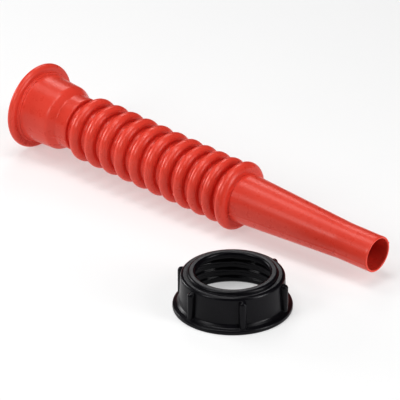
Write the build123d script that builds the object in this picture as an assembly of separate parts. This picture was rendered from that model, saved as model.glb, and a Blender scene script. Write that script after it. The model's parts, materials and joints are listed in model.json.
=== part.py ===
from build123d import *
import os
from math import atan2, degrees

# A flexible pouring spout for a fuel can, lying on its side, with its screw collar lying beside it.
# All lengths are millimetres and all angles degrees. Stations run along the spout from its sealing
# face, and the spout is drawn along +X before it is laid down.

# Base of the spout: sealing flange, socket and neck
FLANGE_RADIUS = 25.9
FLANGE_THICKNESS = 4.8
FLANGE_STEP_RADIUS = 21.6
FLANGE_STEP_END = 6.2
SOCKET_RADIUS = 20.4
SOCKET_BORE = 18.6
SHOULDER_STATION = 25.2
SHOULDER_RADIUS = 19.4
SHOULDER_WALL = 2.0
NECK_START = 29.4
NECK_RADIUS = 16.0
NECK_END = 38.1
NECK_BORE = 14.6

# Bellows hose: eleven round rings with a narrow web in each gap
WIDE_RINGS = 7
CLOSE_RINGS = 3
RING_RADIUS = 19.3
LAST_RING_RADIUS = 20.4
WIDE_TUBE = 3.8
CLOSE_TUBE = 3.55
LAST_TUBE = 3.75
WIDE_GAP = 4.1
CLOSE_GAP = 3.4
HOSE_WALL = 1.4
FOLD_DEPTH = 1.1
FOLD_ARM = 0.2
WEB_CLEARANCE = 0.05
CLOSE_SET_ANGLE = 0.525

# Nozzle: a long cone that ends in a short parallel tip
NOZZLE_BASE_RADIUS = 14.7
TIP_RADIUS = 10.63
TIP_WALL = 1.25
NOZZLE_WALL = 1.5
TAPER_END = 235.5
SPOUT_LENGTH = 258.5

# Screw collar
COLLAR_ALONG = 217.05
COLLAR_ASIDE = 70.95
COLLAR_HEIGHT = 22.5
COLLAR_HOLE = 20.7
COLLAR_LIP_THICKNESS = 3.4
COLLAR_LIP_RADIUS = 25.2
COLLAR_GROOVE_HEIGHT = 20.7
COLLAR_TOP_RADIUS = 29.0
COLLAR_SHOULDER_HEIGHT = 21.0
COLLAR_FOOT_RADIUS = 29.65
COLLAR_FOOT_HEIGHT = 4.8
COLLAR_FLARE_RADIUS = 31.2
COLLAR_FLARE_HEIGHT = 3.1
COLLAR_FLANGE_RADIUS = 33.35
COLLAR_FLANGE_HEIGHT = 2.5
THREAD_CREST_RADIUS = 26.1
THREAD_DEPTH = 1.0
THREAD_PITCH = 5.1
THREAD_TURNS = 2.5
THREAD_START = 2.0
THREAD_MOUTH = 3.7
THREAD_FLOOR = 2.2
THREAD_OVERCUT = 0.6
MOUTH_RADIUS = 28.2
MOUTH_DEPTH = 1.6
RIB_COUNT = 6
RIB_RADIUS = 2.1
RIB_CENTRE_RADIUS = 30.1
RIB_BED = 1.0
RIB_TOP = 19.2
FIRST_RIB_ANGLE = -38.0


def ring_sizes():
    """Outer radius and tube radius of each ring, from the neck to the nozzle."""
    wide = [(RING_RADIUS, WIDE_TUBE)] * WIDE_RINGS
    close = [(RING_RADIUS, CLOSE_TUBE)] * CLOSE_RINGS
    return wide + close + [(LAST_RING_RADIUS, LAST_TUBE)]


def gap_widths():
    """Width of the gap in front of each ring."""
    return [WIDE_GAP] * WIDE_RINGS + [CLOSE_GAP] * (CLOSE_RINGS + 1)


def stations():
    """Stations of the web centres and the ring centres along the straight spout."""
    webs = []
    rings = []
    reached = NECK_END
    for gap, (_, tube) in zip(gap_widths(), ring_sizes()):
        webs.append(reached + gap / 2)
        rings.append(reached + gap + tube)
        reached += gap + 2 * tube
    return webs, rings


def rounded_face(corners):
    """Flat face of a closed outline, from the two coordinates and the fillet of each corner."""
    face = make_face(Polyline(*[(x, y) for x, y, _ in corners], close=True))
    for x, y, rounding in corners:
        if rounding:
            corner = face.vertices().sort_by_distance((x, y, 0))[0]
            face = fillet(corner, rounding)
    return face


def spout_base():
    """Sealing flange with a round rim, socket, shoulder and neck, open right through."""
    outline = rounded_face([
        (0, SOCKET_BORE, 0.5),
        (0, FLANGE_RADIUS, 2.1),
        (FLANGE_THICKNESS, FLANGE_RADIUS, 2.4),
        (FLANGE_THICKNESS, FLANGE_STEP_RADIUS, 0.4),
        (FLANGE_STEP_END, FLANGE_STEP_RADIUS, 0.5),
        (FLANGE_STEP_END, SOCKET_RADIUS, 0.5),
        (SHOULDER_STATION, SHOULDER_RADIUS, 4.5),
        (NECK_START, NECK_RADIUS, 1.5),
        (NECK_END, NECK_RADIUS, 1.0),
        (NECK_END, NECK_BORE, 0),
        (NECK_START, NECK_BORE, 1.0),
        (SHOULDER_STATION - 1, SHOULDER_RADIUS - SHOULDER_WALL, 1.0),
    ])
    return revolve(outline, Axis.X)


def ring_shell(outer, tube):
    """One round ring of the bellows, a half-tube bent into a circle and open towards the bore."""
    centre = outer - tube
    wall = Circle(tube) - Circle(tube - HOSE_WALL)
    crest = wall & (Pos(0, tube) * Rectangle(2 * tube, 2 * tube))
    return revolve(Pos(0, centre) * crest, Axis.X)


def web_shell(gap, rim_before, rim_after):
    """The thin fold in a gap, from the walls on both sides down to its shallow rounded floor."""
    root = min(rim_before, rim_after) - FOLD_ARM
    floor = Ellipse(gap / 2 + HOSE_WALL, FOLD_DEPTH + HOSE_WALL) - Ellipse(gap / 2, FOLD_DEPTH)
    below = Pos(0, -RING_RADIUS / 2) * Rectangle(2 * RING_RADIUS, RING_RADIUS)
    fold = Pos(0, root) * (floor & below)
    for side, rim in ((-1, rim_before), (1, rim_after)):
        height = rim - WEB_CLEARANCE - root
        fold += Pos(side * (gap + HOSE_WALL) / 2, root + height / 2) * Rectangle(HOSE_WALL, height)
    return revolve(fold, Axis.X)


def nozzle():
    """Conical nozzle with a parallel tip, drawn from the centre of the last ring."""
    last = stations()[1][-1]
    rim = LAST_RING_RADIUS - LAST_TUBE
    start = LAST_TUBE - HOSE_WALL
    taper = TAPER_END - last
    tip = SPOUT_LENGTH - last
    outline = rounded_face([
        (start, rim, 0),
        (LAST_TUBE, rim, 0),
        (LAST_TUBE, NOZZLE_BASE_RADIUS, 0.2),
        (taper, TIP_RADIUS, 0),
        (tip, TIP_RADIUS, 0.5),
        (tip, TIP_RADIUS - TIP_WALL, 0.5),
        (taper, TIP_RADIUS - TIP_WALL, 0),
        (start, NOZZLE_BASE_RADIUS - NOZZLE_WALL, 0),
    ])
    return revolve(outline, Axis.X)


def collar_body():
    """Turned shape of the screw collar, lip up and threaded mouth down, without its thread."""
    lip_under = COLLAR_HEIGHT - COLLAR_LIP_THICKNESS
    outline = rounded_face([
        (COLLAR_HOLE, lip_under, 0.3),
        (THREAD_CREST_RADIUS, lip_under, 0),
        (THREAD_CREST_RADIUS, MOUTH_DEPTH, 0),
        (MOUTH_RADIUS, 0, 0),
        (COLLAR_FLANGE_RADIUS, 0, 0.8),
        (COLLAR_FLANGE_RADIUS, COLLAR_FLANGE_HEIGHT, 1.1),
        (COLLAR_FLARE_RADIUS, COLLAR_FLARE_HEIGHT, 2.0),
        (COLLAR_FOOT_RADIUS, COLLAR_FOOT_HEIGHT, 1.8),
        (COLLAR_TOP_RADIUS, COLLAR_SHOULDER_HEIGHT, 2.0),
        (COLLAR_LIP_RADIUS, COLLAR_GROOVE_HEIGHT, 0.3),
        (COLLAR_LIP_RADIUS, COLLAR_HEIGHT, 1.4),
        (COLLAR_HOLE, COLLAR_HEIGHT, 1.4),
    ])
    return revolve(Rot(90, 0, 0) * outline, Axis.Z)


def thread_groove():
    """Helical groove between the internal thread's crests, drawn from the crest radius outwards."""
    path = Helix(THREAD_PITCH, THREAD_PITCH * THREAD_TURNS, THREAD_CREST_RADIUS)
    section = Polyline(
        (-THREAD_OVERCUT, -THREAD_MOUTH / 2),
        (0, -THREAD_MOUTH / 2),
        (THREAD_DEPTH, -THREAD_FLOOR / 2),
        (THREAD_DEPTH, THREAD_FLOOR / 2),
        (0, THREAD_MOUTH / 2),
        (-THREAD_OVERCUT, THREAD_MOUTH / 2),
        close=True,
    )
    start = Plane(origin=path @ 0, x_dir=(1, 0, 0), z_dir=path % 0)
    groove = sweep(start * make_face(section), path=path, is_frenet=True)
    return Pos(0, 0, THREAD_START + THREAD_MOUTH / 2) * groove


def grip_rib():
    """Upright round-faced grip rib with a domed top, bedded in the collar's wall and flange."""
    length = RIB_TOP - RIB_RADIUS - RIB_BED
    bar = Cylinder(RIB_RADIUS, length, align=(Align.CENTER, Align.CENTER, Align.MIN))
    return Pos(RIB_CENTRE_RADIUS, 0, RIB_BED) * (bar + Pos(0, 0, length) * Sphere(RIB_RADIUS))


def collar():
    """Screw collar with its six grip ribs and internal thread."""
    body = collar_body()
    for n in range(RIB_COUNT):
        body += Rot(0, 0, FIRST_RIB_ANGLE + 360 / RIB_COUNT * n) * grip_rib()
    return body - thread_groove()


def lie_down(last_ring_station):
    """Lays the straight spout on its flange rim and its last ring."""
    run = last_ring_station - FLANGE_THICKNESS / 2
    tilt = degrees(atan2(FLANGE_RADIUS - LAST_RING_RADIUS, run))
    return Rot(0, tilt, 0)


def spout_places():
    """Places of the straight spout's frame at the base, at each web and at each ring."""
    web_stations, ring_stations = stations()
    base_place = lie_down(ring_stations[-1])
    place = base_place
    web_places = []
    ring_places = []
    for n, station in enumerate(web_stations):
        turn = CLOSE_SET_ANGLE if n >= WIDE_RINGS else 0
        halfway = place * Pos(station, 0, 0) * Rot(0, 0, turn / 2)
        place = halfway * Rot(0, 0, turn / 2) * Pos(-station, 0, 0)
        web_places.append(halfway)
        ring_places.append(place * Pos(ring_stations[n], 0, 0))
    return base_place, web_places, ring_places


def spout_nodes():
    """Base, webs, rings and nozzle of the spout, laid on its side."""
    base_place, web_places, ring_places = spout_places()
    nodes = {"base": base_place * spout_base()}
    rim = NECK_BORE
    for n, (gap, (outer, tube)) in enumerate(zip(gap_widths(), ring_sizes())):
        nodes[f"web_{n:02d}"] = web_places[n] * web_shell(gap, rim, outer - tube)
        nodes[f"ring_{n + 1:02d}"] = ring_places[n] * ring_shell(outer, tube)
        rim = outer - tube
    nodes["nozzle"] = ring_places[-1] * nozzle()
    return nodes


def box_of(shapes):
    """Lowest and highest corners of the box around some shapes."""
    boxes = [shape.bounding_box() for shape in shapes]
    low = Vector(min(b.min.X for b in boxes), min(b.min.Y for b in boxes), min(b.min.Z for b in boxes))
    high = Vector(max(b.max.X for b in boxes), max(b.max.Y for b in boxes), max(b.max.Z for b in boxes))
    return low, high


def assemble():
    """Every node in its place, with the centre of the footprint at the origin."""
    spout = spout_nodes()
    lift = Pos(0, 0, -box_of(spout.values())[0].Z)
    nodes = {name: lift * shape for name, shape in spout.items()}
    nodes["collar"] = Pos(COLLAR_ALONG, -COLLAR_ASIDE, 0) * collar()
    low, high = box_of(nodes.values())
    shift = Pos(-(low.X + high.X) / 2, -(low.Y + high.Y) / 2, 0)
    return {name: shift * shape for name, shape in nodes.items()}


def main():
    os.makedirs("parts", exist_ok=True)
    for name, shape in assemble().items():
        export_step(shape, f"parts/{name}.step")


main()
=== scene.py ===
import json
from math import atan2, ceil, cos, pi, radians, sin, tan
import bpy
import numpy as np
from mathutils import Matrix, Vector


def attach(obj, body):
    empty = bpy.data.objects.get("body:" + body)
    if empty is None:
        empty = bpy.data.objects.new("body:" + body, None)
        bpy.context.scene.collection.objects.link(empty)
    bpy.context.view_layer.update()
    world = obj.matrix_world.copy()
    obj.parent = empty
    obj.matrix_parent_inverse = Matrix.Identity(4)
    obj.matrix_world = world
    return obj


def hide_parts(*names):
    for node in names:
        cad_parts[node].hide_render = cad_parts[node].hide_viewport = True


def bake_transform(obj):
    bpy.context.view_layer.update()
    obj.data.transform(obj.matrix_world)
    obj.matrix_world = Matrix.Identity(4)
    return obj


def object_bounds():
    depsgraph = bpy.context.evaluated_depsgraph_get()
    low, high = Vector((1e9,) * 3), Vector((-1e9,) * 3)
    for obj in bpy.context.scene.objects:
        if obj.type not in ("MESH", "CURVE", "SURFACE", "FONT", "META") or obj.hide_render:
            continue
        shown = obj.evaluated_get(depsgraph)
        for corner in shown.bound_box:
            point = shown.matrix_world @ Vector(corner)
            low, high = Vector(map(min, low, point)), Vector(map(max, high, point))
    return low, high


# A flexible pouring spout for a fuel can, in red polyethylene, with its black screw collar beside it.
# Lengths are in metres. Named angles are in degrees, and the angles of a skin's points in radians.
# An outline is a closed loop of points (along the axis, out from the axis), and a skin is an outline
# turned about its axis. A clockwise outline gives a skin whose faces point outwards.

MM = 0.001

# Base of the spout
FLANGE_RADIUS = 25.9 * MM
FLANGE_THICKNESS = 4.8 * MM
FLANGE_STEP_RADIUS = 21.6 * MM
FLANGE_STEP_END = 6.2 * MM
SOCKET_RADIUS = 20.4 * MM
SOCKET_BORE = 18.6 * MM
SHOULDER_STATION = 25.2 * MM
SHOULDER_RADIUS = 19.4 * MM
SHOULDER_WALL = 2.0 * MM
NECK_START = 29.4 * MM
NECK_RADIUS = 16.0 * MM
NECK_END = 38.1 * MM
NECK_BORE = 14.6 * MM
BORE_LEAD = 1.0 * MM
MOUTH_FILLET = 0.5 * MM
FLANGE_FRONT_FILLET = 2.1 * MM
FLANGE_BACK_FILLET = 2.4 * MM
FLANGE_STEP_FOOT_FILLET = 0.4 * MM
FLANGE_STEP_FILLET = 0.5 * MM
SHOULDER_FILLET = 4.5 * MM
NECK_FOOT_FILLET = 1.5 * MM
NECK_END_FILLET = 1.0 * MM
NECK_BORE_FILLET = 1.0 * MM
SHOULDER_BORE_FILLET = 1.0 * MM

# Bellows hose
RING_COUNT = 11
WIDE_RINGS = 7
RING_RADIUS = 19.3 * MM
LAST_RING_RADIUS = 20.4 * MM
WIDE_TUBE = 3.8 * MM
CLOSE_TUBE = 3.55 * MM
LAST_TUBE = 3.75 * MM
WIDE_GAP = 4.1 * MM
CLOSE_GAP = 3.4 * MM
HOSE_WALL = 1.4 * MM
FOLD_DEPTH = 1.1 * MM
FOLD_ARM = 0.2 * MM

# Raised round mark on one ring, flat on top, whose flank falls over the outer 1 / MARK_FLANK of it
MARKED_RING = 6
MARK_ANGLE = 109.0
MARK_ALONG = -1.6 * MM
MARK_LENGTH = 3.0 * MM
MARK_WIDTH = 1.9 * MM
MARK_HEIGHT = 0.3 * MM
MARK_FLANK = 2.5

# Unevenness of the rings: each wave is lobes round the ring and its shift from ring to ring
RING_WAVES = ((3, 1.7), (5, 2.9))
RING_WAVE_HEIGHT = 0.02 * MM

# In every fold half but this one, the later of its two bodies is put first.
FORWARD_FOLD = (1, "after")

# Nozzle, in stations from the centre of the last ring
NOZZLE_BASE_RADIUS = 14.7 * MM
NOZZLE_WALL = 1.5 * MM
TIP_RADIUS = 10.63 * MM
TIP_WALL = 1.25 * MM
PARALLEL_TIP = 23.0 * MM
NOZZLE_FOOT_FILLET = 0.2 * MM
TIP_FILLET = 0.5 * MM

# Screw collar
COLLAR_HEIGHT = 22.5 * MM
COLLAR_HOLE = 20.7 * MM
COLLAR_LIP_THICKNESS = 3.4 * MM
COLLAR_LIP_RADIUS = 25.2 * MM
COLLAR_GROOVE_HEIGHT = 20.7 * MM
COLLAR_TOP_RADIUS = 29.0 * MM
COLLAR_SHOULDER_HEIGHT = 21.0 * MM
COLLAR_FOOT_RADIUS = 29.65 * MM
COLLAR_FOOT_HEIGHT = 4.8 * MM
COLLAR_FLARE_RADIUS = 31.2 * MM
COLLAR_FLARE_HEIGHT = 3.1 * MM
COLLAR_FLANGE_RADIUS = 33.35 * MM
COLLAR_FLANGE_HEIGHT = 2.5 * MM
THREAD_CREST_RADIUS = 26.1 * MM
THREAD_DEPTH = 1.0 * MM
THREAD_PITCH = 5.1 * MM
THREAD_TURNS = 2.5
THREAD_START = 2.0 * MM
THREAD_MOUTH = 3.7 * MM
THREAD_FLOOR = 2.2 * MM
MOUTH_RADIUS = 28.2 * MM
MOUTH_DEPTH = 1.6 * MM
COLLAR_HOLE_FILLET = 0.3 * MM
COLLAR_LIP_FILLET = 1.4 * MM
COLLAR_GROOVE_FILLET = 0.3 * MM
COLLAR_SHOULDER_FILLET = 2.0 * MM
COLLAR_FOOT_FILLET = 1.8 * MM
COLLAR_FLARE_FILLET = 2.0 * MM
COLLAR_FLANGE_TOP_FILLET = 1.1 * MM
COLLAR_FLANGE_FOOT_FILLET = 0.8 * MM
RIB_COUNT = 6
RIB_RADIUS = 2.1 * MM
RIB_CENTRE_RADIUS = 30.1 * MM
RIB_TOP = 19.2 * MM
FIRST_RIB_ANGLE = -38.0

# Mould parting line, which runs along both sides of the spout. Its ridge is as high as its crown less
# its flank for each half-width from its middle, cut off flat at 1, as a share of its height.
PARTING_ANGLE = 197.0
PARTING_HALF_WIDTH = 0.42 * MM
PARTING_HEIGHT = 0.18 * MM
PARTING_CROWN = 2.0
PARTING_FLANK = 1.4
BASE_PARTING_SHARE = 0.35

# Flash on the parting line: smooth humps with a height, a length along the axis and an angle round it
FLASH_HEIGHT = 0.7 * MM
BASE_FLASH_ANGLE = 2.2
NECK_FOOT_FLASH_LENGTH = 1.3 * MM
NECK_END_FLASH_LENGTH = 0.6 * MM
FLASH_ANGLE = 2.4
FLASHED_RINGS = (7, 8)
RING_FLASH_HEIGHT = 1.5 * FLASH_HEIGHT
RING_FLASH_LENGTH = 1.2 * MM
NOZZLE_FLASH_LENGTH = 1.1 * MM
NOZZLE_FLASH_FROM_RING = 0.4 * MM
NUB_HEIGHT = 0.45 * MM
NUB_LENGTH = 0.8 * MM
NUB_ANGLE = 2.6
NUB_FROM_END = 0.6 * MM

# Fineness of the skins
SPOUT_TURNS = 144
PARTING_OFFSETS = (0.5, 1.0, 1.5, 2.2, 3.2)
COLLAR_TURNS = 150
RIB_OFFSETS = (0.25, 0.5, 0.7, 0.87, 0.97, 1, 1.1, 1.25)
FILLET_STEPS = 6
COLLAR_FILLET_STEPS = 8
RING_OUTER_STEPS = 36
RING_INNER_STEPS = 20
FOLD_STEPS = 8
BASE_LONGEST_SIDE = 1.2 * MM
NOZZLE_LONGEST_SIDE = 2.0 * MM
COLLAR_LONGEST_SIDE = 0.4 * MM
SHARP_ANGLE = 38
NEARLY_ZERO = 1e-12

# An even turn nearer to a closer one than this share of a step is left out
LEAST_SHARE_OF_STEP = 0.4

# A collar's point is on the outer wall or in the bore by how far its side faces out from the axis
OUTER_WALL_FACING = 0.1
BORE_FACING = -0.5

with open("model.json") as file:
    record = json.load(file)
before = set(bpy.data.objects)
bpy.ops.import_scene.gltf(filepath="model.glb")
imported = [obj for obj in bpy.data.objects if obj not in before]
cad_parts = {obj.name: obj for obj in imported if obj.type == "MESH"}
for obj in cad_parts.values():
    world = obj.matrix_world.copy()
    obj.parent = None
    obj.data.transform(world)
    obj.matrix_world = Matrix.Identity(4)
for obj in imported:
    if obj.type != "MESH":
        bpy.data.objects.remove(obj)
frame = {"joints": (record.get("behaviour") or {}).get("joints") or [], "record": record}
cad_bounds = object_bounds()
joints = {joint["name"]: joint for joint in frame["joints"]}
mounts = {mount["name"]: mount for mount in frame["record"]["mounts"]}


# ---------------------------------------------------------------- outlines

def arc(centre, radius, start, end, steps):
    """Points of a circular arc between two angles."""
    angles = np.radians(np.linspace(start, end, steps + 1))
    return [(centre[0] + radius * cos(a), centre[1] + radius * sin(a)) for a in angles]


def rounded(corners, steps=FILLET_STEPS):
    """Closed outline whose corners, each (along, out, fillet), are rounded."""
    points = []
    for n, (along, out, fillet) in enumerate(corners):
        corner = np.array([along, out])
        if fillet == 0:
            points.append(corner)
            continue
        before = np.array(corners[n - 1][:2]) - corner
        after = np.array(corners[(n + 1) % len(corners)][:2]) - corner
        before = before / np.linalg.norm(before)
        after = after / np.linalg.norm(after)
        half = np.arccos(before @ after) / 2
        inward = (before + after) / np.linalg.norm(before + after)
        centre = corner + inward * fillet / sin(half)
        first = corner + before * fillet / tan(half) - centre
        last = corner + after * fillet / tan(half) - centre
        start = atan2(first[1], first[0])
        sweep = (atan2(last[1], last[0]) - start + pi) % (2 * pi) - pi
        for k in range(steps + 1):
            angle = start + sweep * k / steps
            points.append(centre + fillet * np.array([cos(angle), sin(angle)]))
    return np.array(points)


def divided(outline, longest):
    """The same closed outline with no side over a given length."""
    points = []
    for here, there in zip(outline, np.roll(outline, -1, axis=0)):
        parts = max(1, int(np.ceil(np.linalg.norm(there - here) / longest)))
        points += [here + (there - here) * k / parts for k in range(parts)]
    return np.array(points)


def both_sides(offsets):
    """The offsets on both sides of a middle, and the middle."""
    return [-offset for offset in reversed(offsets)] + [0] + list(offsets)


def spread_angles(count, places, offsets):
    """Even angles, with closer ones at the offsets beside each given place."""
    close = np.array([(place + offset) % 360 for place in places for offset in offsets])
    even = np.arange(count) * 360 / count
    apart = np.abs((even[:, None] - close[None, :] + 180) % 360 - 180).min(axis=1)
    kept = even[apart > LEAST_SHARE_OF_STEP * 360 / count]
    return np.radians(np.sort(np.concatenate([kept, close])))


# ---------------------------------------------------------------- meshes

def turned_skin(name, outline, place, angles, relief=None):
    """Skin of a closed outline. relief(along, out, facing, angle) moves points out from the axis.
    facing is 1 where the skin faces straight out from the axis and -1 where it faces the axis."""
    count = len(outline)
    turns = len(angles)
    side = np.roll(outline, -1, axis=0) - np.roll(outline, 1, axis=0)
    facing = side[:, 0] / np.maximum(np.linalg.norm(side, axis=1), NEARLY_ZERO)
    along = np.repeat(outline[:, :1], turns, axis=1)
    out = np.repeat(outline[:, 1:], turns, axis=1)
    if relief:
        out = out + relief(along, out, facing[:, None], angles[None, :])
    points = np.stack([along, out * np.cos(angles), out * np.sin(angles)], axis=-1).reshape(-1, 3)
    number = np.arange(count * turns).reshape(count, turns)
    onward = np.roll(number, -1, axis=0)
    around = np.roll(number, -1, axis=1)
    both = np.roll(onward, -1, axis=1)
    faces = np.stack([number, around, both, onward], axis=-1).reshape(-1, 4)
    mesh = bpy.data.meshes.new(name)
    mesh.from_pydata([place @ Vector(p) for p in points], [], faces.tolist())
    mesh.shade_smooth()
    mesh.set_sharp_from_angle(angle=radians(SHARP_ANGLE))
    piece = bpy.data.objects.new(name, mesh)
    bpy.context.scene.collection.objects.link(piece)
    return piece


def place_along(origin, direction):
    """Place whose X runs along a direction and whose Y stays level."""
    x = Vector(direction).normalized()
    y = Vector((0, 0, 1)).cross(x).normalized()
    z = x.cross(y)
    return Matrix.Translation(origin) @ Matrix((x, y, z)).transposed().to_4x4()


def finished(piece, material, node):
    """Gives a piece its material, and hides the CAD node that it stands for."""
    piece.data.materials.append(material)
    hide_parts(node)


def bump_at(value, middle, width):
    """Smooth hump of height 1."""
    return np.exp(-((value - middle) / width) ** 2)


def turn_between(angle, place):
    """Signed turn, in radians, to an angle in radians from a place in degrees."""
    return (angle - radians(place) + pi) % (2 * pi) - pi


# ---------------------------------------------------------------- materials

# A noise value's usual range
NOISE_LOW = 0.3
NOISE_HIGH = 0.7

# Scales are repeats in a metre
DRIFT_SCALE = 45
GLOSS_SCALE = 260
WAVE_SCALE = 120
GRAIN_SCALE = 2600
SMOOTHER_BY = 0.04
ROUGHER_BY = 0.05
WAVE_HEIGHT = 0.12 * MM
WAVE_STRENGTH = 0.5
GRAIN_HEIGHT = 0.02 * MM

FLOOR_TONE_SCALE = 6
FLOOR_DEEP = 0.47
FLOOR_PALE = 0.49
FLOOR_ROUGHNESS = 0.9
FLOOR_GLOW = 0.34


def noise(nodes, links, position, scale, detail, roughness=0.5):
    texture = nodes.new("ShaderNodeTexNoise")
    texture.inputs["Scale"].default_value = scale
    texture.inputs["Detail"].default_value = detail
    texture.inputs["Roughness"].default_value = roughness
    links.new(position, texture.inputs["Vector"])
    return texture.outputs["Fac"]


def span(nodes, links, value, low, high):
    """Maps the middle of a noise value's range on to low..high."""
    mapped = nodes.new("ShaderNodeMapRange")
    mapped.inputs["From Min"].default_value = NOISE_LOW
    mapped.inputs["From Max"].default_value = NOISE_HIGH
    mapped.inputs["To Min"].default_value = low
    mapped.inputs["To Max"].default_value = high
    links.new(value, mapped.inputs["Value"])
    return mapped.outputs["Result"]


def bumps(nodes, links, height, distance, strength, below=None):
    bump = nodes.new("ShaderNodeBump")
    bump.inputs["Distance"].default_value = distance
    bump.inputs["Strength"].default_value = strength
    links.new(height, bump.inputs["Height"])
    if below:
        links.new(below, bump.inputs["Normal"])
    return bump.outputs["Normal"]


def moulded_plastic(name, pale, deep, rough, specular, grain):
    """Moulded plastic: slow colour drift, uneven gloss, soft waviness and a fine grain."""
    material = bpy.data.materials.new(name)
    material.use_nodes = True
    nodes = material.node_tree.nodes
    links = material.node_tree.links
    shader = nodes["Principled BSDF"]
    position = nodes.new("ShaderNodeTexCoord").outputs["Object"]
    drift = noise(nodes, links, position, DRIFT_SCALE, detail=4)
    colour = nodes.new("ShaderNodeMix")
    colour.data_type = "RGBA"
    colour.inputs["A"].default_value = (*deep, 1)
    colour.inputs["B"].default_value = (*pale, 1)
    links.new(span(nodes, links, drift, 0, 1), colour.inputs["Factor"])
    links.new(colour.outputs["Result"], shader.inputs["Base Color"])
    gloss = noise(nodes, links, position, GLOSS_SCALE, detail=5, roughness=0.6)
    roughness = span(nodes, links, gloss, rough - SMOOTHER_BY, rough + ROUGHER_BY)
    links.new(roughness, shader.inputs["Roughness"])
    shader.inputs["Specular IOR Level"].default_value = specular
    waves = noise(nodes, links, position, WAVE_SCALE, detail=2)
    wavy = bumps(nodes, links, waves, WAVE_HEIGHT, WAVE_STRENGTH)
    grains = noise(nodes, links, position, GRAIN_SCALE, detail=3)
    grained = bumps(nodes, links, grains, GRAIN_HEIGHT, grain, wavy)
    links.new(grained, shader.inputs["Normal"])
    return material


def pale_floor():
    """Plain pale floor that glows a little."""
    material = bpy.data.materials.new("pale_floor")
    material.use_nodes = True
    nodes = material.node_tree.nodes
    links = material.node_tree.links
    shader = nodes["Principled BSDF"]
    position = nodes.new("ShaderNodeTexCoord").outputs["Object"]
    tone = noise(nodes, links, position, FLOOR_TONE_SCALE, detail=3)
    ramp = nodes.new("ShaderNodeMix")
    ramp.data_type = "RGBA"
    ramp.inputs["A"].default_value = (FLOOR_DEEP, FLOOR_DEEP, FLOOR_DEEP, 1)
    ramp.inputs["B"].default_value = (FLOOR_PALE, FLOOR_PALE, FLOOR_PALE, 1)
    links.new(tone, ramp.inputs["Factor"])
    links.new(ramp.outputs["Result"], shader.inputs["Base Color"])
    shader.inputs["Roughness"].default_value = FLOOR_ROUGHNESS
    shader.inputs["Specular IOR Level"].default_value = 0
    shader.inputs["Emission Color"].default_value = (1, 1, 1, 1)
    shader.inputs["Emission Strength"].default_value = FLOOR_GLOW
    return material


red = moulded_plastic(
    "red_polyethylene",
    pale=(0.78, 0.105, 0.072),
    deep=(0.74, 0.090, 0.060),
    rough=0.29,
    specular=0.42,
    grain=0.15,
)
black = moulded_plastic(
    "black_plastic",
    pale=(0.0100, 0.0092, 0.0125),
    deep=(0.0070, 0.0063, 0.0090),
    rough=0.31,
    specular=0.34,
    grain=0.25,
)


# ---------------------------------------------------------------- places

web_centres = [Vector(joints[f"side_bend_{n:02d}"]["pos_m"]) for n in range(RING_COUNT)]
nozzle_axis = Vector(mounts["nozzle_tip"]["axis"]).normalized()
spout_axis = (web_centres[1] - web_centres[0]).normalized()
ring_axes = [(b - a).normalized() for a, b in zip(web_centres, web_centres[1:])] + [nozzle_axis]
gaps = [WIDE_GAP if n < WIDE_RINGS else CLOSE_GAP for n in range(RING_COUNT)]
tubes = [WIDE_TUBE] * WIDE_RINGS + [CLOSE_TUBE] * (RING_COUNT - 1 - WIDE_RINGS) + [LAST_TUBE]
radii = [RING_RADIUS] * (RING_COUNT - 1) + [LAST_RING_RADIUS]
ring_bodies = [f"ring_{n + 1:02d}" for n in range(RING_COUNT - 1)] + ["nozzle"]
ring_centres = [
    web + axis * (gap / 2 + tube)
    for web, axis, gap, tube in zip(web_centres, ring_axes, gaps, tubes)
]
base_place = place_along(web_centres[0] - spout_axis * (NECK_END + WIDE_GAP / 2), spout_axis)

parting_places = (PARTING_ANGLE, PARTING_ANGLE - 180)
spout_angles = spread_angles(SPOUT_TURNS, parting_places, both_sides(PARTING_OFFSETS))


# ---------------------------------------------------------------- spout

def parting_ridge(out, angle, height):
    """Low flat-topped ridge of the parting line on both sides of the spout."""
    ridge = 0
    for place in parting_places:
        across = np.abs(turn_between(angle, place)) * out
        share = np.clip(PARTING_CROWN - PARTING_FLANK * across / PARTING_HALF_WIDTH, 0, 1)
        ridge = ridge + height * share
    return ridge


def beside_parting(angle, place, width):
    """Smooth hump of height 1 round the axis from a place on the parting line."""
    return bump_at(turn_between(angle, place), 0, radians(width))


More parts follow.
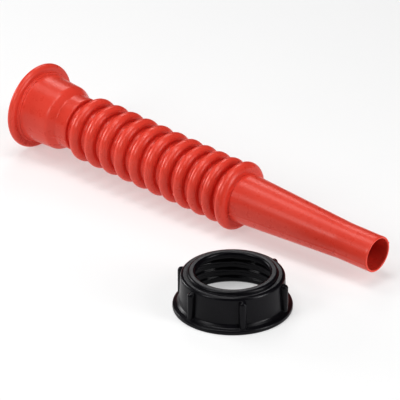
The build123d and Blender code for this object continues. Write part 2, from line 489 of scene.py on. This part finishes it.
def make_base():
    """Sealing flange, socket, shoulder and neck."""
    outline = rounded([
        (0, SOCKET_BORE, MOUTH_FILLET),
        (0, FLANGE_RADIUS, FLANGE_FRONT_FILLET),
        (FLANGE_THICKNESS, FLANGE_RADIUS, FLANGE_BACK_FILLET),
        (FLANGE_THICKNESS, FLANGE_STEP_RADIUS, FLANGE_STEP_FOOT_FILLET),
        (FLANGE_STEP_END, FLANGE_STEP_RADIUS, FLANGE_STEP_FILLET),
        (FLANGE_STEP_END, SOCKET_RADIUS, FLANGE_STEP_FILLET),
        (SHOULDER_STATION, SHOULDER_RADIUS, SHOULDER_FILLET),
        (NECK_START, NECK_RADIUS, NECK_FOOT_FILLET),
        (NECK_END, NECK_RADIUS, NECK_END_FILLET),
        (NECK_END, NECK_BORE, 0),
        (NECK_START, NECK_BORE, NECK_BORE_FILLET),
        (SHOULDER_STATION - BORE_LEAD, SHOULDER_RADIUS - SHOULDER_WALL, SHOULDER_BORE_FILLET),
    ])
    outline = divided(outline, BASE_LONGEST_SIDE)

    def relief(along, out, facing, angle):
        foot = bump_at(along, NECK_START, NECK_FOOT_FLASH_LENGTH)
        end = bump_at(along, NECK_END, NECK_END_FLASH_LENGTH)
        flash = FLASH_HEIGHT * (foot + end) * beside_parting(angle, PARTING_ANGLE, BASE_FLASH_ANGLE)
        ridge = parting_ridge(out, angle, BASE_PARTING_SHARE * PARTING_HEIGHT)
        return np.maximum(facing, 0) * (ridge * (along > FLANGE_STEP_END) + flash)

    piece = turned_skin("spout_base", outline, base_place, spout_angles, relief)
    finished(piece, red, "base")
    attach(piece, "base")


def ring_outline(radius, tube):
    """Half-tube open towards the bore."""
    middle = (0, radius - tube)
    outer = arc(middle, tube, 180, 0, RING_OUTER_STEPS)
    inner = arc(middle, tube - HOSE_WALL, 0, 180, RING_INNER_STEPS)
    return np.array(outer + inner)


def make_ring(n):
    """A round ring of the bellows, slightly uneven."""
    def relief(along, out, facing, angle):
        waves = sum(np.sin(lobes * angle + shift * n) for lobes, shift in RING_WAVES)
        uneven = (waves - len(RING_WAVES)) * RING_WAVE_HEIGHT
        mark = 0
        if n == MARKED_RING:
            across = turn_between(angle, MARK_ANGLE) * radii[n] / MARK_LENGTH
            reach = np.hypot((along - MARK_ALONG) / MARK_WIDTH, across)
            mark = MARK_HEIGHT * np.clip(MARK_FLANK * (1 - reach), 0, 1)
        flash = 0
        if n in FLASHED_RINGS:
            beside = beside_parting(angle, PARTING_ANGLE, FLASH_ANGLE)
            flash = RING_FLASH_HEIGHT * beside * bump_at(along, -tubes[n], RING_FLASH_LENGTH)
        return np.maximum(facing, 0) ** 2 * (uneven + mark) + (facing > 0) * flash

    node = f"ring_{n + 1:02d}"
    outline = ring_outline(radii[n], tubes[n])
    place = place_along(ring_centres[n], ring_axes[n])
    piece = turned_skin(f"hose_{node}", outline, place, spout_angles, relief)
    finished(piece, red, node)
    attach(piece, ring_bodies[n])


def fold_arc(root, half, depth, start, end):
    """Points of an elliptical arc about the gap's middle, at the root radius."""
    return [(half * x, root + depth * y) for x, y in arc((0, 0), 1, start, end, FOLD_STEPS)]


def make_web(n):
    """The thin fold in a gap, in two halves that meet at its centre."""
    gap = gaps[n]
    rim_before = radii[n - 1] - tubes[n - 1] if n else NECK_BORE
    rim_after = radii[n] - tubes[n]
    root = min(rim_before, rim_after) - FOLD_ARM
    inner = gap / 2 + HOSE_WALL
    body_before = "base" if n == 0 else ring_bodies[n - 1]
    axis_before = spout_axis if n == 0 else ring_axes[n - 1]
    web = f"web_{n:02d}"
    left = (
        [(-gap / 2, rim_before)]
        + fold_arc(root, gap / 2, FOLD_DEPTH, 180, 270)
        + fold_arc(root, inner, FOLD_DEPTH + HOSE_WALL, 270, 180)
        + [(-inner, rim_before)]
    )
    right = (
        [(inner, rim_after)]
        + fold_arc(root, inner, FOLD_DEPTH + HOSE_WALL, 0, -90)
        + fold_arc(root, gap / 2, FOLD_DEPTH, 270, 360)
        + [(gap / 2, rim_after)]
    )
    halves = (
        ("before", left, axis_before, body_before, web, -gap / 2, 0),
        ("after", right, ring_axes[n], web, ring_bodies[n], 0, gap / 2),
    )
    for word, outline, axis, first, second, start, end in halves:
        place = place_along(web_centres[n], axis)
        # reversed, the outline is anticlockwise, so a fold's faces point inwards
        outline = np.array(outline)[::-1]
        piece = turned_skin(f"hose_fold_{n:02d}_{word}", outline, place, spout_angles)
        finished(piece, red, web)
        near = (first, web_centres[n] + axis * start)
        far = (second, web_centres[n] + axis * end)
        if (n, word) != FORWARD_FOLD:
            near, far = far, near
        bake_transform(piece)


def make_nozzle():
    """Cone and parallel tip, from the foot of the last ring on."""
    tip_middle = Vector(mounts["nozzle_tip"]["pos_m"])
    tip_length = mounts["nozzle_tip"]["dims"]["length_mm"] * MM
    taper = (tip_middle - ring_centres[-1]).dot(nozzle_axis) - tip_length / 2
    end = taper + PARALLEL_TIP
    start = LAST_TUBE - HOSE_WALL
    rim = LAST_RING_RADIUS - LAST_TUBE
    outline = rounded([
        (start, rim, 0),
        (LAST_TUBE, rim, 0),
        (LAST_TUBE, NOZZLE_BASE_RADIUS, NOZZLE_FOOT_FILLET),
        (taper, TIP_RADIUS, 0),
        (end, TIP_RADIUS, TIP_FILLET),
        (end, TIP_RADIUS - TIP_WALL, TIP_FILLET),
        (taper, TIP_RADIUS - TIP_WALL, 0),
        (start, NOZZLE_BASE_RADIUS - NOZZLE_WALL, 0),
    ])
    outline = divided(outline, NOZZLE_LONGEST_SIDE)

    def relief(along, out, facing, angle):
        at_foot = bump_at(along, LAST_TUBE + NOZZLE_FLASH_FROM_RING, NOZZLE_FLASH_LENGTH)
        flash = FLASH_HEIGHT * at_foot * beside_parting(angle, PARTING_ANGLE, FLASH_ANGLE)
        at_end = bump_at(along, end - NUB_FROM_END, NUB_LENGTH)
        nub = NUB_HEIGHT * at_end * beside_parting(angle, PARTING_ANGLE - 180, NUB_ANGLE)
        ridge = parting_ridge(out, angle, PARTING_HEIGHT)
        return np.maximum(facing, 0) * (ridge + flash + nub)

    place = place_along(ring_centres[-1], nozzle_axis)
    piece = turned_skin("spout_nozzle", outline, place, spout_angles, relief)
    finished(piece, red, "nozzle")
    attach(piece, "nozzle")


# ---------------------------------------------------------------- collar

def make_collar():
    """Screw collar, standing on its foot flange, with its thread and its grip ribs."""
    lip_under = COLLAR_HEIGHT - COLLAR_LIP_THICKNESS
    corners = [
        (0, MOUTH_RADIUS, 0),
        (MOUTH_DEPTH, THREAD_CREST_RADIUS, 0),
        (lip_under, THREAD_CREST_RADIUS, 0),
        (lip_under, COLLAR_HOLE, COLLAR_HOLE_FILLET),
        (COLLAR_HEIGHT, COLLAR_HOLE, COLLAR_LIP_FILLET),
        (COLLAR_HEIGHT, COLLAR_LIP_RADIUS, COLLAR_LIP_FILLET),
        (COLLAR_GROOVE_HEIGHT, COLLAR_LIP_RADIUS, COLLAR_GROOVE_FILLET),
        (COLLAR_SHOULDER_HEIGHT, COLLAR_TOP_RADIUS, COLLAR_SHOULDER_FILLET),
        (COLLAR_FOOT_HEIGHT, COLLAR_FOOT_RADIUS, COLLAR_FOOT_FILLET),
        (COLLAR_FLARE_HEIGHT, COLLAR_FLARE_RADIUS, COLLAR_FLARE_FILLET),
        (COLLAR_FLANGE_HEIGHT, COLLAR_FLANGE_RADIUS, COLLAR_FLANGE_TOP_FILLET),
        (0, COLLAR_FLANGE_RADIUS, COLLAR_FLANGE_FOOT_FILLET),
    ]
    # the corners go up the bore and down the outer wall, so they are turned round to be clockwise
    outline = divided(rounded(corners, COLLAR_FILLET_STEPS)[::-1], COLLAR_LONGEST_SIDE)
    dome = RIB_TOP - RIB_RADIUS
    rib_places = [FIRST_RIB_ANGLE + 360 / RIB_COUNT * n for n in range(RIB_COUNT)]
    rib_half_angle = RIB_RADIUS / RIB_CENTRE_RADIUS * 180 / pi

    def relief(along, out, facing, angle):
        wall = (facing > OUTER_WALL_FACING) & (along > COLLAR_FLANGE_HEIGHT)
        rib = 0
        for place in rib_places:
            across = turn_between(angle, place) * RIB_CENTRE_RADIUS
            above = np.maximum(along - dome, 0)
            reach = RIB_RADIUS ** 2 - across ** 2 - above ** 2
            surface = RIB_CENTRE_RADIUS + np.sqrt(np.maximum(reach, 0))
            rib = np.maximum(rib, np.where(reach > 0, surface - out, 0))
        inside = (facing < BORE_FACING) & (along > MOUTH_DEPTH) & (along < lip_under)
        slope = (THREAD_MOUTH - THREAD_FLOOR) / 2
        groove = 0
        for turn in range(ceil(THREAD_TURNS)):
            turned = turn + (angle % (2 * pi)) / (2 * pi)
            away = np.abs(along - THREAD_START - THREAD_MOUTH / 2 - THREAD_PITCH * turned)
            depth = np.clip((THREAD_MOUTH / 2 - away) / slope, 0, 1)
            groove = np.maximum(groove, np.where(turned <= THREAD_TURNS, depth, 0))
        return np.where(wall, rib, 0) + np.where(inside, groove * THREAD_DEPTH, 0)

    # the outline's axis stands upright, with its start on the floor
    centre = Vector(joints["collar_turn"]["pos_m"])
    place = Matrix(((0, 1, 0, centre.x), (0, 0, 1, centre.y), (1, 0, 0, 0), (0, 0, 0, 1)))
    offsets = rib_half_angle * np.array(both_sides(RIB_OFFSETS))
    angles = spread_angles(COLLAR_TURNS, rib_places, offsets)
    piece = turned_skin("screw_collar", outline, place, angles, relief)
    finished(piece, black, "collar")
    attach(piece, "collar")


make_base()
for number in range(RING_COUNT):
    make_ring(number)
    make_web(number)
make_nozzle()
make_collar()


# ---------------------------------------------------------------- room, camera and lights

CAMERA_AZIMUTH = 41.88
CAMERA_ELEVATION = 27.85
CAMERA_DISTANCE = 2.545
LENS_MM = 405
SENSOR_WIDTH_MM = 36
FLOOR_HALF = 3.0
WORLD_LOW = 0.2
WORLD_HIGH = 0.8
SOFTBOX_SIZE = 0.34
SOFTBOX_DISTANCE = 1.0
AIM_FROM_CENTRE = Vector((23.5 * MM, 13.25 * MM, 0))

azimuth = radians(CAMERA_AZIMUTH)
right = Vector((cos(azimuth), sin(azimuth), 0))
away = Vector((-sin(azimuth), cos(azimuth), 0))
up = Vector((0, 0, 1))
middle = (cad_bounds[0] + cad_bounds[1]) / 2


def make_camera():
    elevation = radians(CAMERA_ELEVATION)
    forward = cos(elevation) * away - sin(elevation) * up
    above = sin(elevation) * away + cos(elevation) * up
    data = bpy.data.cameras.new("camera")
    data.lens = LENS_MM
    data.sensor_width = SENSOR_WIDTH_MM
    camera = bpy.data.objects.new("camera", data)
    turn = Matrix((right, above, -forward)).transposed().to_4x4()
    stand = middle + AIM_FROM_CENTRE - CAMERA_DISTANCE * forward
    camera.matrix_world = Matrix.Translation(stand) @ turn
    bpy.context.scene.collection.objects.link(camera)
    bpy.context.scene.camera = camera


def softbox(name, side, height, radiance):
    """Square soft light: side is degrees to the camera's right, height degrees above the floor."""
    around = radians(side)
    raised = radians(height)
    level = sin(around) * right - cos(around) * away
    towards = level * cos(raised) + sin(raised) * up
    data = bpy.data.lights.new(name, "AREA")
    data.shape = "SQUARE"
    data.size = SOFTBOX_SIZE
    data.energy = radiance * pi * SOFTBOX_SIZE ** 2
    light = bpy.data.objects.new(name, data)
    light.location = middle + towards * SOFTBOX_DISTANCE
    light.rotation_euler = towards.to_track_quat("Z", "Y").to_euler()
    bpy.context.scene.collection.objects.link(light)


def make_floor():
    mesh = bpy.data.meshes.new("floor")
    signs = ((-1, -1), (1, -1), (1, 1), (-1, 1))
    mesh.from_pydata([(x * FLOOR_HALF, y * FLOOR_HALF, 0) for x, y in signs], [], [(0, 1, 2, 3)])
    mesh.materials.append(pale_floor())
    floor = bpy.data.objects.new("floor", mesh)
    bpy.context.scene.collection.objects.link(floor)


def make_world():
    """Studio air that is brighter overhead."""
    world = bpy.data.worlds.new("studio")
    world.use_nodes = True
    nodes = world.node_tree.nodes
    links = world.node_tree.links
    direction = nodes.new("ShaderNodeTexCoord").outputs["Generated"]
    parts = nodes.new("ShaderNodeSeparateXYZ")
    links.new(direction, parts.inputs["Vector"])
    height = nodes.new("ShaderNodeMapRange")
    height.inputs["To Min"].default_value = WORLD_LOW
    height.inputs["To Max"].default_value = WORLD_HIGH
    links.new(parts.outputs["Z"], height.inputs["Value"])
    links.new(height.outputs["Result"], nodes["Background"].inputs["Strength"])
    bpy.context.scene.world = world
    bpy.context.scene.view_settings.view_transform = "Standard"
    bpy.context.scene.view_settings.look = "High Contrast"


def make_lights():
    softbox("right_low_softbox", side=60, height=14, radiance=6.9)
    softbox("overhead_softbox", side=0, height=88, radiance=5.6)
    softbox("left_back_low_softbox", side=-120, height=14, radiance=6.2)
    softbox("left_high_softbox", side=-45, height=64, radiance=3.0)
    softbox("left_softbox", side=-52, height=33, radiance=5.6)
    softbox("right_softbox", side=55, height=36, radiance=3.0)
    softbox("back_softbox", side=180, height=38, radiance=2.7)
    softbox("back_left_high_softbox", side=-135, height=64, radiance=2.8)


make_camera()
make_floor()
make_world()
make_lights()
